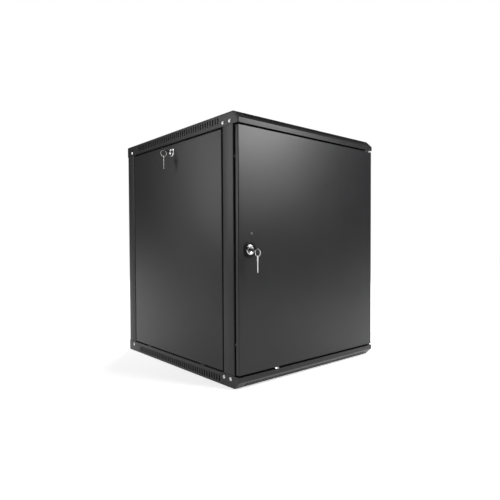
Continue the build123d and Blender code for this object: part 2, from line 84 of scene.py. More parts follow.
# ---- mesh helpers --------------------------------------------------------
def new_piece(name, bm, node=None, material=None, smooth=35):
    """Turn a bmesh into a piece that stands for a CAD node and rides on its body."""
    mesh = bpy.data.meshes.new(name)
    bmesh.ops.recalc_face_normals(bm, faces=bm.faces)
    bm.to_mesh(mesh)
    bm.free()
    piece = bpy.data.objects.new(name, mesh)
    bpy.context.collection.objects.link(piece)
    if material:
        mesh.materials.append(material)
    shade(piece, smooth)
    if node:
        stand_for(piece, node)
    return piece


def shade(piece, angle):
    """Smooth shading that keeps edges sharper than an angle, in degrees."""
    mesh = piece.data
    mesh.shade_smooth()
    mesh.set_sharp_from_angle(angle=math.radians(angle))


def stand_for(piece, node):
    """Put a piece in the place of a CAD node: it rides on the node's body."""
    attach(piece, BODY_OF[node])
    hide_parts(node)


def apply_modifiers(piece):
    """Bake the modifiers into the mesh."""
    graph = bpy.context.evaluated_depsgraph_get()
    mesh = bpy.data.meshes.new_from_object(piece.evaluated_get(graph), depsgraph=graph)
    piece.modifiers.clear()
    piece.data = mesh


def thicken(piece, thickness, offset=-1.0):
    """Give a surface the sheet's thickness, inwards."""
    solid = piece.modifiers.new("sheet", "SOLIDIFY")
    solid.thickness = thickness
    solid.offset = offset
    solid.use_even_offset = True
    apply_modifiers(piece)


def cut(piece, cutter, smooth=35):
    """Subtract a closed mesh from a piece."""
    boolean = piece.modifiers.new("cut", "BOOLEAN")
    boolean.operation = "DIFFERENCE"
    boolean.solver = "EXACT"
    boolean.object = cutter
    apply_modifiers(piece)
    bpy.data.objects.remove(cutter)
    shade(piece, smooth)


def soften(piece, width, angle=50, segments=2):
    """Bevel a piece's sharp edges a little."""
    bevel = piece.modifiers.new("soften", "BEVEL")
    bevel.width = width
    bevel.segments = segments
    bevel.limit_method = "ANGLE"
    bevel.angle_limit = math.radians(angle)
    bevel.use_clamp_overlap = True
    bevel.miter_outer = "MITER_ARC"
    apply_modifiers(piece)
    shade(piece, 40)


def frame_at(origin, x_axis, y_axis):
    """Matrix of a local frame with given X and Y axes."""
    x, y = Vector(x_axis).normalized(), Vector(y_axis).normalized()
    z = x.cross(y)
    m = Matrix((x, y, z)).transposed().to_4x4()
    m.translation = origin
    return m


def prism(bm, outline, depth, matrix=Matrix()):
    """A closed prism over a flat outline in the local XY plane, from z=0 to depth."""
    bottom = [bm.verts.new(matrix @ Vector((x, y, 0))) for x, y in outline]
    top = [bm.verts.new(matrix @ Vector((x, y, depth))) for x, y in outline]
    count = len(outline)
    bm.faces.new(bottom[::-1])
    bm.faces.new(top)
    for i in range(count):
        j = (i + 1) % count
        bm.faces.new((bottom[i], bottom[j], top[j], top[i]))


def circle(radius, steps=32, centre=(0, 0)):
    """Points of a circle."""
    turns = [2 * math.pi * i / steps for i in range(steps)]
    return [(centre[0] + radius * math.cos(a), centre[1] + radius * math.sin(a)) for a in turns]


def stadium(length, width, centre=(0, 0), steps=6):
    """Outline of a slot that runs along Y."""
    r = width / 2
    half = length / 2 - r
    points = []
    for start, y in ((0, half), (math.pi, -half)):
        for i in range(steps + 1):
            a = start + math.pi * i / steps
            points.append((centre[0] + r * math.cos(a), centre[1] + y + r * math.sin(a)))
    return points


def lathe(bm, profile, matrix=Matrix(), steps=48):
    """Turn a profile of (radius, height) points about local Z. Points on the axis close the shape."""
    rings = []
    for radius, z in profile:
        if radius < 1e-7:
            rings.append([bm.verts.new(matrix @ Vector((0, 0, z)))])
        else:
            turn = 2 * math.pi / steps
            rings.append([
                bm.verts.new(matrix @ Vector((radius * math.cos(i * turn), radius * math.sin(i * turn), z)))
                for i in range(steps)
            ])
    for a, b in zip(rings, rings[1:]):
        for i in range(steps):
            j = (i + 1) % steps
            corners = [a[i % len(a)], a[j % len(a)], b[j % len(b)], b[i % len(b)]]
            unique = list(dict.fromkeys(corners))
            if len(unique) > 2:
                bm.faces.new(unique)


def bent(points, radius, steps=BEND_STEPS):
    """A polyline with its inner corners rounded as arcs."""
    path = [Vector(points[0])]
    for a, b, c in zip(points, points[1:], points[2:]):
        a, b, c = Vector(a), Vector(b), Vector(c)
        u, v = (a - b).normalized(), (c - b).normalized()
        half = math.acos(max(-1.0, min(1.0, u.dot(v)))) / 2
        reach = radius / math.tan(half)
        centre = b + (u + v).normalized() * radius / math.sin(half)
        start, end = b + u * reach - centre, b + v * reach - centre
        swing = start.angle_signed(end)
        for i in range(steps + 1):
            path.append(centre + Matrix.Rotation(-swing * i / steps, 2) @ start)
    path.append(Vector(points[-1]))
    return path


def folded(bm, points, thickness, depth, matrix, radius=BEND):
    """A folded strip: a bent outline, thickened to its left, run along local Z for depth."""
    outer = bent(points, radius)
    inner = []
    for i, p in enumerate(outer):
        before = (p - outer[i - 1]).normalized() if i else None
        after = (outer[i + 1] - p).normalized() if i < len(outer) - 1 else None
        way = ((before or after) + (after or before)).normalized()
        side = Vector((-way.y, way.x))
        stretch = 1 / max(0.3, side.dot(Vector((-(after or before).y, (after or before).x))))
        inner.append(p + side * thickness * stretch)
    prism(bm, [tuple(p) for p in outer] + [tuple(p) for p in reversed(inner)], depth, matrix)


# ---- materials -----------------------------------------------------------
def material(name, metallic=0.0, specular=0.5):
    """A principled material and its node tree's handles."""
    mat = bpy.data.materials.new(name)
    mat.use_nodes = True
    shader = mat.node_tree.nodes["Principled BSDF"]
    shader.inputs["Metallic"].default_value = metallic
    shader.inputs["Specular IOR Level"].default_value = specular
    return mat, mat.node_tree, shader


def noise(tree, scale, detail=3.0, stretch=(1, 1, 1)):
    """A noise value in the piece's own metres."""
    place = tree.nodes.new("ShaderNodeTexCoord")
    mapping = tree.nodes.new("ShaderNodeMapping")
    mapping.inputs["Scale"].default_value = stretch
    texture = tree.nodes.new("ShaderNodeTexNoise")
    texture.inputs["Scale"].default_value = scale
    texture.inputs["Detail"].default_value = detail
    tree.links.new(place.outputs["Object"], mapping.inputs["Vector"])
    tree.links.new(mapping.outputs["Vector"], texture.inputs["Vector"])
    return texture.outputs["Fac"]


def ramp(tree, value, stops):
    """A colour ramp over (position, colour) stops."""
    node = tree.nodes.new("ShaderNodeValToRGB")
    elements = node.color_ramp.elements
    while len(elements) < len(stops):
        elements.new(0.5)
    for element, (position, colour) in zip(elements, stops):
        element.position = position
        element.color = (*colour, 1.0)
    tree.links.new(value, node.inputs["Fac"])
    return node.outputs["Color"]


def spread(tree, value, low_value, high_value):
    """Map a noise value to a range of numbers."""
    node = tree.nodes.new("ShaderNodeMapRange")
    node.inputs["From Min"].default_value = 0.3
    node.inputs["From Max"].default_value = 0.7
    node.inputs["To Min"].default_value = low_value
    node.inputs["To Max"].default_value = high_value
    tree.links.new(value, node.inputs["Value"])
    return node.outputs["Result"]


def bump(tree, shader, layers):
    """Stack bump layers of (height value, strength, distance in metres)."""
    normal = None
    for value, strength, distance in layers:
        node = tree.nodes.new("ShaderNodeBump")
        node.inputs["Strength"].default_value = strength
        node.inputs["Distance"].default_value = distance
        tree.links.new(value, node.inputs["Height"])
        if normal:
            tree.links.new(normal, node.inputs["Normal"])
        normal = node.outputs["Normal"]
    tree.links.new(normal, shader.inputs["Normal"])


def powder_coat(name, dark, light, rough):
    """Fine-textured satin powder coat: orange peel, fine grain and a faint cloudiness."""
    mat, tree, shader = material(name, specular=0.3)
    cloud = noise(tree, 9.0, 4.0)
    grain = noise(tree, 900.0, 2.0)
    peel = noise(tree, 260.0, 2.0)
    tree.links.new(ramp(tree, cloud, ((0.25, dark), (0.75, light))), shader.inputs["Base Color"])
    tree.links.new(spread(tree, grain, rough - 0.05, rough + 0.07), shader.inputs["Roughness"])
    bump(tree, shader, ((peel, 0.12, 0.0004), (grain, 0.22, 0.00015)))
    return mat


def metal(name, dark, light, rough, streak=(1, 1, 1), scale=300.0, depth=0.1, metallic=1.0):
    """Plated metal with a fine, cloudy or brushed finish."""
    mat, tree, shader = material(name, metallic=metallic)
    cloud = noise(tree, scale, 3.0, streak)
    fine = noise(tree, scale * 4, 2.0, streak)
    tree.links.new(ramp(tree, cloud, ((0.3, dark), (0.7, light))), shader.inputs["Base Color"])
    tree.links.new(spread(tree, fine, rough * 0.75, rough * 1.3), shader.inputs["Roughness"])
    bump(tree, shader, ((fine, depth, 0.0001),))
    return mat


def moulded(name, dark, light, rough, specular=0.4):
    """Moulded plastic or rubber with a fine spark-eroded grain."""
    mat, tree, shader = material(name, specular=specular)
    cloud = noise(tree, 60.0, 3.0)
    grain = noise(tree, 1500.0, 2.0)
    tree.links.new(ramp(tree, cloud, ((0.3, dark), (0.7, light))), shader.inputs["Base Color"])
    tree.links.new(spread(tree, grain, rough - 0.08, rough + 0.08), shader.inputs["Roughness"])
    bump(tree, shader, ((grain, 0.25, 0.0001),))
    return mat


CABINET = powder_coat("cabinet_powder_coat", (0.0085, 0.0085, 0.0085), (0.0105, 0.0105, 0.0105), 0.40)
# The door's copy of the coat is darker and a little bluer than the cabinet's on the same paint: painted
# shade and a painted bluish tint of the light on the door's front.
DOOR_SHADED_COAT = powder_coat("door_coat_painted_shade", (0.0074, 0.0074, 0.0082), (0.0094, 0.0094, 0.0103), 0.38)
MARK = powder_coat("mark_paint", (0.060, 0.060, 0.061), (0.085, 0.085, 0.087), 0.35)
ZINC = metal("zinc_plate", (0.62, 0.62, 0.60), (0.78, 0.78, 0.77), 0.32, depth=0.15)
RAIL_ZINC = metal("rail_zinc", (0.50, 0.51, 0.52), (0.62, 0.63, 0.64), 0.36, (1, 1, 0.12), 180.0)
CHROME = metal("lock_chrome", (0.42, 0.42, 0.43), (0.50, 0.50, 0.51), 0.10, depth=0.03)
# The plug's near-black metal is painted shade: the dark reflection in the lock's centre, painted into its
# colour.
PLUG_PAINTED_SHADE = metal("plug_painted_shade", (0.030, 0.030, 0.031), (0.055, 0.055, 0.056), 0.22, depth=0.05)
# The keys standing in the plugs use a near-black copy of the key nickel: painted shade and a painted dark
# reflection on their bows.
KEY_IN_SHADE = metal("key_nickel_painted_shade", (0.035, 0.035, 0.036), (0.060, 0.060, 0.062), 0.35, (1, 1, 6), 500.0)
NICKEL = metal("key_nickel", (0.78, 0.77, 0.75), (0.90, 0.89, 0.87), 0.30, (1, 1, 6), 500.0, metallic=0.7)
BLACK = moulded("black_nylon", (0.012, 0.012, 0.013), (0.020, 0.020, 0.021), 0.45)
ROSETTE = moulded("rosette_nylon", (0.0030, 0.0030, 0.0030), (0.0045, 0.0045, 0.0045), 0.50, 0.12)
RUBBER = moulded("buffer_rubber", (0.015, 0.015, 0.015), (0.024, 0.024, 0.024), 0.75)


# ---- roof and floor pans -------------------------------------------------
SIDE_SLOTS, SIDE_SLOT_LENGTH, SIDE_SLOT_DEPTH = 40, 0.019, 0.016
BROW_SLOTS, BROW_SLOT_LENGTH, BROW_SLOT_START = 45, 0.017, 0.003
FAN_X, FAN_VENT_R, FAN_HOLE_PITCH, FAN_SLOT_PITCH = 0.130, 0.056, 0.105, 0.010
ENTRY_LENGTH, ENTRY_WIDTH, ENTRY_Y = 0.300, 0.070, 0.240
ENTRY_SCREW_X, ENTRY_SCREW_Y, ENTRY_SCREW_R = 0.160, 0.025, 0.00205
FOOT_HOLE_R, FOOT_PITCH_X, FOOT_PITCH_Y = 0.0045, 0.480, 0.460
FAN_SCREW_R = 0.00225
PIN_HOLE_R = 0.00305
# How far a cutter reaches past the face it cuts
CUT = 0.004


def rounded_rectangle(length, width, radius, centre=(0, 0), steps=5):
    """Outline of a rectangle with round corners."""
    points = []
    for corner, (sx, sy) in enumerate(((1, 1), (-1, 1), (-1, -1), (1, -1))):
        cx = centre[0] + sx * (length / 2 - radius)
        cy = centre[1] + sy * (width / 2 - radius)
        for i in range(steps + 1):
            a = math.pi / 2 * (corner + i / steps)
            points.append((cx + radius * math.cos(a), cy + radius * math.sin(a)))
    return points


def pan_shell(lo, hi):
    """The folded skin of the roof pan: plate, skirts, slanted brow, lip and its return."""
    bm = bmesh.new()
    profile = [
        (lo.y, lo.z), (lo.y, hi.z - BROW_DROP), (lo.y + BROW_RUN, hi.z), (hi.y, hi.z), (hi.y, lo.z),
    ]
    prism(bm, profile, hi.x - lo.x, frame_at((lo.x, 0, 0), (0, 1, 0), (0, 0, 1)))
    bmesh.ops.bisect_plane(
        bm, geom=bm.verts[:] + bm.edges[:] + bm.faces[:],
        plane_co=(0, lo.y + LIP_FLANGE, 0), plane_no=(0, 1, 0),
    )
    base = [f for f in bm.faces if all(abs(v.co.z - lo.z) < 1e-6 for v in f.verts)]
    behind = [f for f in base if f.calc_center_median().y > lo.y + LIP_FLANGE]
    bmesh.ops.delete(bm, geom=behind, context="FACES_ONLY")
    bmesh.ops.delete(bm, geom=[e for e in bm.edges if not e.link_faces], context="EDGES")
    bmesh.ops.recalc_face_normals(bm, faces=bm.faces)
    sharp = [
        e for e in bm.edges
        if len(e.link_faces) == 2 and e.calc_face_angle() > 0.3
        and not all(abs(v.co.z - lo.z) < 1e-6 and abs(v.co.x) > hi.x - 1e-6 for v in e.verts)
    ]
    bmesh.ops.bevel(
        bm, geom=sharp, offset=BEND, segments=BEND_STEPS, profile=0.5, affect="EDGES", clamp_overlap=True,
    )
    return bm


def pan_cutter(lo, hi, is_roof):
    """Every slot and hole of a pan, as one closed mesh."""
    bm = bmesh.new()
    width = hi.x - lo.x + 2 * CUT
    across = frame_at((lo.x - CUT, 0, 0), (0, 1, 0), (0, 0, 1))
    for i in range(SIDE_SLOTS):
        y = (i - (SIDE_SLOTS - 1) / 2) * SLOT_PITCH
        prism(bm, stadium(SIDE_SLOT_LENGTH, SLOT_WIDTH, (y, hi.z - SIDE_SLOT_DEPTH)), width, across)
    slope = Vector((0, BROW_RUN, BROW_DROP)).normalized()
    brow = frame_at((0, lo.y + BROW_RUN, hi.z), (1, 0, 0), slope)
    down = brow @ Matrix.Translation((0, 0, CUT))
    for i in range(BROW_SLOTS):
        x = (i - (BROW_SLOTS - 1) / 2) * SLOT_PITCH
        centre = (x, -BROW_SLOT_START - BROW_SLOT_LENGTH / 2)
        prism(bm, stadium(BROW_SLOT_LENGTH, SLOT_WIDTH, centre), -2 * CUT, down)
    plate = Matrix.Translation((0, 0, hi.z + CUT))
    for side in (-1, 1):
        for step in range(-5, 6):
            offset = step * FAN_SLOT_PITCH
            reach = 2 * math.sqrt(FAN_VENT_R ** 2 - offset ** 2)
            prism(bm, stadium(reach, SLOT_WIDTH, (side * FAN_X + offset, 0)), -2 * CUT, plate)
        for sx in (-1, 1):
            for sy in (-1, 1):
                spot = (side * FAN_X + sx * FAN_HOLE_PITCH / 2, sy * FAN_HOLE_PITCH / 2)
                prism(bm, circle(FAN_SCREW_R, 16, spot), -2 * CUT, plate)
    prism(bm, rounded_rectangle(ENTRY_LENGTH, ENTRY_WIDTH, 0.008, (0, ENTRY_Y)), -2 * CUT, plate)
    for sx in (-1, 1):
        for sy in (-1, 1):
            spot = (sx * ENTRY_SCREW_X, ENTRY_Y + sy * ENTRY_SCREW_Y)
            prism(bm, circle(ENTRY_SCREW_R, 16, spot), -2 * CUT, plate)
            if not is_roof:
                spot = (sx * FOOT_PITCH_X / 2, sy * FOOT_PITCH_Y / 2)
                prism(bm, circle(FOOT_HOLE_R, 24, spot), -2 * CUT, plate)
    pin = middle("hinge_washer")
    prism(bm, circle(PIN_HOLE_R, 24, (pin.x, pin.y)), 2 * CUT, Matrix.Translation((0, 0, lo.z - CUT)))
    return bm


def pan(node, is_roof):
    """A pan with its slots. The floor is the roof turned over."""
    lo, hi = low(node), high(node)
    shell, holes = pan_shell(lo, hi), pan_cutter(lo, hi, is_roof)
    if not is_roof:
        turn_over = Matrix.Translation((0, 0, lo.z + hi.z)) @ Matrix.Diagonal((1, 1, -1, 1))
        for bm in (shell, holes):
            bmesh.ops.transform(bm, matrix=turn_over, verts=bm.verts)
    piece = new_piece(node + "_sheet", shell, node, CABINET)
    thicken(piece, SHEET)
    cut(piece, new_piece(node + "_holes", holes), 25)


pan("roof_panel", True)
pan("floor_panel", False)


# ---- trays: door and side panels -----------------------------------------
def tray(node, open_side, sheet, mat, lip=0.0, radius=BEND):
    """A folded tray. open_side is the open face's outward direction; lip is the return round its mouth."""
    lo, hi = low(node), high(node)
    bm = bmesh.new()
    bmesh.ops.create_cube(bm, size=1.0)
    size = hi - lo
    bmesh.ops.transform(
        bm, matrix=Matrix.Translation((lo + hi) / 2) @ Matrix.Diagonal((*size, 1)), verts=bm.verts
    )
    mouth = max(bm.faces, key=lambda f: f.calc_center_median().dot(open_side))
    if lip:
        bmesh.ops.inset_region(bm, faces=[mouth], thickness=lip, use_even_offset=True)
    bmesh.ops.delete(bm, geom=[mouth], context="FACES_ONLY")
    sharp = [e for e in bm.edges if len(e.link_faces) == 2 and e.calc_face_angle() > 0.3]
    bmesh.ops.bevel(
        bm, geom=sharp, offset=radius, segments=BEND_STEPS, profile=0.5, affect="EDGES", clamp_overlap=True,
    )
    piece = new_piece(node + "_sheet", bm, node, mat)
    thicken(piece, sheet)
    return piece


def bore(piece, origin, direction, radius, depth=0.006):
    """Cut a round hole through a sheet, centred on a point."""
    way = Vector(direction)
    side = way.orthogonal()
    bm = bmesh.new()
    prism(bm, circle(radius, 40), depth, frame_at(Vector(origin) - way * depth / 2, side, way.cross(side)))
    cut(piece, new_piece("bore", bm))


DOOR_RETURN = 0.010
LOCK_HOLE_R = 0.00955
pin, lock_spot = middle("hinge_washer"), middle("door_lock_rosette")
# The door's darker, bluer coat is painted shade and a painted bluish tint.
door = tray("front_door", Vector((0, 1, 0)), SHEET, DOOR_SHADED_COAT, lip=DOOR_RETURN)
for z in (low("front_door").z, high("front_door").z):
    bore(door, (pin.x, pin.y, z), (0, 0, 1), PIN_HOLE_R)
bore(door, (lock_spot.x, low("front_door").y, lock_spot.z), (0, 1, 0), LOCK_HOLE_R)
for side in ("left", "right"):
    sign = -1 if side == "left" else 1
    panel = tray(side + "_side_panel", Vector((-sign, 0, 0)), PANEL_SHEET, CABINET)
    spot = middle(side + "_lock_nut")
    bore(panel, (sign * high("right_side_panel").x, spot.y, spot.z), (1, 0, 0), LOCK_HOLE_R)

# ---- folded profiles: posts, beams, rails, stiffener ----------------------
LEFT_RIGHT = {"left": Matrix(), "right": Matrix.Diagonal((-1, 1, 1, 1))}


def profile_piece(node, points, depth, matrix, mat, thickness, holes=None, radius=BEND):
    """A folded strip that stands for a node, with its holes."""
    bm = bmesh.new()
    folded(bm, points, thickness, depth, matrix, radius)
    piece = new_piece(node + "_profile", bm, node, mat)
    if holes:
        cut(piece, new_piece(node + "_holes", holes))
    return piece


POST_SIDE, POST_INNER_X = 0.047, 0.283
POST_FACE_X = {"front": 0.276, "rear": 0.262}
WALL_HOLE_X, WALL_HOLE_R, WALL_HOLE_Z = 0.285, 0.0045, 0.060
for side, mirror_x in LEFT_RIGHT.items():
    for end in ("front", "rear"):
        node = f"{end}_{side}_post"
        lo, hi = low(node), high(node)
        outer = max(abs(lo.x), abs(hi.x))
        y_face, y_inner = (lo.y, lo.y + POST_SIDE) if end == "front" else (hi.y, hi.y - POST_SIDE)
        points = [
            (-POST_INNER_X, y_inner), (-outer, y_inner), (-outer, y_face), (-POST_FACE_X[end], y_face),
        ]
        holes = None
        if end == "rear":
            points.reverse()
            holes = bmesh.new()
            for z in (WALL_HOLE_Z, lo.z + hi.z - WALL_HOLE_Z):
                spot = mirror_x @ frame_at((-WALL_HOLE_X, y_face + CUT, z), (1, 0, 0), (0, 0, 1))
                prism(holes, circle(WALL_HOLE_R, 24), 2 * CUT, spot)
        rise = Matrix.Translation((0, 0, lo.z))
        profile_piece(node, points, hi.z - lo.z, mirror_x @ rise, CABINET, SHEET, holes)

BOLT_HEAD_R = 0.0055
BEAM_SLOT_Y, BEAM_SLOT_LENGTH, BEAM_SLOT_WIDTH = (-0.175, 0.165), 0.140, 0.0064
for side, mirror_x in LEFT_RIGHT.items():
    for level in ("top", "bottom"):
        node = f"{level}_{side}_beam"
        lo, hi = low(node), high(node)
        inner, outer = min(abs(lo.x), abs(hi.x)), max(abs(lo.x), abs(hi.x))
        height = hi.z - lo.z
        points = [(-inner, 0), (-inner, height), (-outer, height), (-outer, 0)]
        stand = Matrix.Translation((0, hi.y, lo.z))
        if level == "bottom":
            stand = Matrix.Translation((0, hi.y, hi.z)) @ Matrix.Diagonal((1, 1, -1, 1))
        place = mirror_x @ stand @ frame_at((0, 0, 0), (1, 0, 0), (0, 0, 1))
        top_z, bottom_z = high("rail_bolts").z - BOLT_HEAD_R, low("rail_bolts").z + BOLT_HEAD_R
        bolt_z = top_z if level == "top" else bottom_z
        holes = bmesh.new()
        for y in BEAM_SLOT_Y:
            across = mirror_x @ frame_at((-inner + CUT, y, bolt_z), (0, 0, 1), (0, 1, 0))
            prism(holes, stadium(BEAM_SLOT_LENGTH, BEAM_SLOT_WIDTH), 2 * CUT, across)
        profile_piece(node, points, hi.y - lo.y, place, CABINET, SHEET, holes)


RAIL_HOLE_X, RAIL_HOLE, RAIL_HOLE_STEPS = 0.23255, 0.0095, (0.00635, 0.022225, 0.0381)


def square_holes(lo, hi, mirror_x):
    """The rail's square cage-nut holes, three per rack unit."""
    bm = bmesh.new()
    first = (lo.z + hi.z - UNITS * RACK_UNIT) / 2
    for unit in range(UNITS):
        for step in RAIL_HOLE_STEPS:
            z = first + unit * RACK_UNIT + step
            spot = mirror_x @ frame_at((-RAIL_HOLE_X, lo.y + CUT, z), (1, 0, 0), (0, 0, 1))
            prism(bm, rounded_rectangle(RAIL_HOLE, RAIL_HOLE, 0.0006, steps=2), 2 * CUT, spot)
    return bm


for side, mirror_x in LEFT_RIGHT.items():
    for end in ("front", "rear"):
        node = f"{end}_{side}_rail"
        lo, hi = low(node), high(node)
        inner, outer = min(abs(lo.x), abs(hi.x)), max(abs(lo.x), abs(hi.x))
        points = [(-outer, hi.y), (-outer, lo.y), (-inner, lo.y)]
        rise = Matrix.Translation((0, 0, lo.z))
        holes = square_holes(lo, hi, mirror_x)
        profile_piece(node, points, hi.z - lo.z, mirror_x @ rise, RAIL_ZINC, RAIL_SHEET, holes)

HAT_BRIM, HAT_BEND = 0.012, 0.0019
lo, hi = low("door_stiffener"), high("door_stiffener")
wall = hi.x - HAT_BRIM
flange = lo.y + SHEET
hat = [(hi.x, flange), (wall, flange), (wall, hi.y), (-wall, hi.y), (-wall, flange), (-hi.x, flange)]
rise = Matrix.Translation((0, 0, lo.z))
profile_piece("door_stiffener", hat, hi.z - lo.z, rise, DOOR_SHADED_COAT, SHEET, radius=HAT_BEND)

# ---- rear panel ----------------------------------------------------------
REAR_SLOT_LENGTH, REAR_SLOT_HEIGHT, REAR_SLOT_R, REAR_SLOT_Z = 0.300, 0.060, 0.008, 0.640
lo, hi = low("rear_panel"), high("rear_panel")
bm = bmesh.new()
back = frame_at((0, hi.y, (lo.z + hi.z) / 2), (1, 0, 0), (0, 0, 1))
prism(bm, rounded_rectangle(hi.x - lo.x, hi.z - lo.z, 0.004), hi.y - lo.y, back)
rear = new_piece("rear_panel_sheet", bm, "rear_panel", CABINET)
bm = bmesh.new()
slot = frame_at((0, hi.y + CUT, REAR_SLOT_Z), (1, 0, 0), (0, 0, 1))
prism(bm, rounded_rectangle(REAR_SLOT_LENGTH, REAR_SLOT_HEIGHT, REAR_SLOT_R), 2 * CUT, slot)
cut(rear, new_piece("rear_slot", bm))

# ---- screws --------------------------------------------------------------
HEAD_R, HEAD_H, SHANK_R, SHANK_L = 0.0050, 0.0026, 0.0030, 0.0080


def pan_head():
    """One pan-head screw with a cross recess, head up, as a mesh."""
    bm = bmesh.new()
    rim = 0.0007
    dome = [(HEAD_R * math.cos(a), rim + (HEAD_H - rim) * math.sin(a)) for a in (0, 0.35, 0.7, 1.05, 1.35)]
    lathe(bm, [(0, -SHANK_L), (SHANK_R, -SHANK_L), (SHANK_R, 0), (HEAD_R, 0), *dome, (0, HEAD_H)], steps=32)
    head = new_piece("screw", bm)
    arm, reach = 0.00055, 0.0026
    cross = [
        (arm, arm), (reach, arm), (reach, -arm), (arm, -arm), (arm, -reach), (-arm, -reach),
        (-arm, -arm), (-reach, -arm), (-reach, arm), (-arm, arm), (-arm, reach), (arm, reach),
    ]
    bm = bmesh.new()
    prism(bm, cross, 0.003, Matrix.Translation((0, 0, HEAD_H - 0.0015)))
    cut(head, new_piece("cross", bm))
    return head


def repeated(name, sample, places, node, mat):
    """Copies of one mesh at several places, joined in one piece."""
    bm = bmesh.new()
    for place in places:
        start = len(bm.verts)
        bm.from_mesh(sample.data)
        bm.verts.ensure_lookup_table()
        bmesh.ops.transform(bm, matrix=place, verts=bm.verts[start:])
    bpy.data.objects.remove(sample)
    return new_piece(name, bm, node, mat)


roof_lo, roof_hi = low("roof_panel"), high("roof_panel")
screw_z = high("corner_screws").z - HEAD_R
side_screw_y = (roof_lo.y + 0.037, roof_lo.y + 0.0665, roof_hi.y - 0.0375)
REAR_SCREW_X = 0.285
places = []
for sign in (-1, 1):
    for z in (screw_z, roof_hi.z - screw_z):
        for i, y in enumerate(side_screw_y):
            turn = Matrix.Rotation(0.5 + 1.3 * i + sign + 20 * z, 4, "Z")
            out = frame_at((sign * roof_hi.x, y, z), (0, sign, 0), (0, 0, 1))
            places.append(out @ turn)
        out = frame_at((sign * REAR_SCREW_X, roof_hi.y, z), (-1, 0, 0), (0, 0, 1))
        places.append(out @ Matrix.Rotation(0.9 * sign + z, 4, "Z"))
repeated("corner_screw_set", pan_head(), places, "corner_screws", ZINC)


# ---- locks and keys ------------------------------------------------------
# A lock's frame has +Z out of the cabinet, +Y down, and the key's bow in its XZ plane.
BODY_R, PLUG_R = 0.0095, 0.0060
BOW_R, BOW_OUT, EYE_OUT, EYE_R = 0.0095, 0.0185, 0.0232, 0.0034
KEY_THICK, BLADE_HALF, NECK_HALF, NECK_LOW = 0.0016, 0.0032, 0.0040, 0.0030
PIN_CUTS = (0.0009, 0.0017, 0.0006, 0.0014)
GROOVE_DEPTH, PANEL_DEPTH = 0.0003, 0.00025
KEY_TOP = BOW_OUT + BOW_R
BEZEL_TURNS = [math.radians(a) for a in range(-80, 91, 17)]


def ring_lathe(bm, profile, matrix, steps=64):
    """A turned ring: the profile is closed from its last point back to its first."""
    lathe(bm, [*profile, profile[0]], matrix, steps)
    bmesh.ops.remove_doubles(bm, verts=bm.verts, dist=1e-7)


def lock_face(prefix, place, depth):
    """Chrome barrel with a softly domed face."""
    bm = bmesh.new()
    inner = PLUG_R + 0.00005
    bezel = [(0.0108 + 0.0032 * math.sin(a), 0.0001 + 0.0019 * math.cos(a)) for a in BEZEL_TURNS]
    ring_lathe(bm, [
        (inner, 0.0004), (0.0068, 0.0008), (0.0075, 0.0008), *bezel, (0.0140, 0.0),
        (BODY_R, 0.0), (BODY_R, -depth), (inner, -depth),
    ], place)
    new_piece(prefix + "_lock_barrel", bm, prefix + "_lock_housing", CHROME, 30)


def lock_plug(prefix, place, depth):
    """Turning plug with its keyway."""
    bm = bmesh.new()
    neck_r, neck_end = 0.0040, -depth - 0.0022
    lathe(bm, [
        (0, 0.0025), (0.0022, 0.00245), (0.0042, 0.0021), (0.0055, 0.0014), (PLUG_R, 0.0006),
        (PLUG_R, -depth), (neck_r, -depth), (neck_r, neck_end), (0, neck_end),
    ], place)
    # The plug's near-black colour is painted shade, the dark reflection in the lock's centre.
    plug = new_piece(prefix + "_lock_core", bm, prefix + "_lock_plug", PLUG_PAINTED_SHADE, 30)
    bm = bmesh.new()
    slot = [(-0.0035, -0.0011), (0.0035, -0.0011), (0.0035, 0.0011), (-0.0035, 0.0011)]
    prism(bm, slot, 0.015, place @ Matrix.Translation((0, 0, -0.012)))
    cut(plug, new_piece("keyway", bm))


def key_outline(tip):
    """Flat outline of a key: round bow, neck, and a blade cut for its pins."""
    neck_top = BOW_OUT - math.sqrt(BOW_R ** 2 - NECK_HALF ** 2)
    start = -math.asin(NECK_HALF / BOW_R)
    points = []
    for i in range(41):
        a = -math.pi / 2 - start + (2 * math.pi + 2 * start) * i / 40
        points.append((BOW_R * math.cos(a), BOW_OUT + BOW_R * math.sin(a)))
    left = [
        (-NECK_HALF, neck_top), (-NECK_HALF, NECK_LOW), (-BLADE_HALF, NECK_LOW), (-BLADE_HALF, tip + 0.0016),
    ]
    cuts = []
    pitch = (0.0022 - tip - 0.0030) / len(PIN_CUTS)
    for i, depth in enumerate(PIN_CUTS):
        base, bed = tip + 0.0026 + i * pitch, BLADE_HALF - depth
        cuts += [(BLADE_HALF, base), (bed, base + 0.35 * pitch), (bed, base + 0.6 * pitch)]
    right = [
        (BLADE_HALF - 0.0020, tip), *cuts, (BLADE_HALF, NECK_LOW),
        (NECK_HALF, NECK_LOW), (NECK_HALF, neck_top),
    ]
    return points[1:-1] + left + [(-BLADE_HALF + 0.0018, tip)] + right


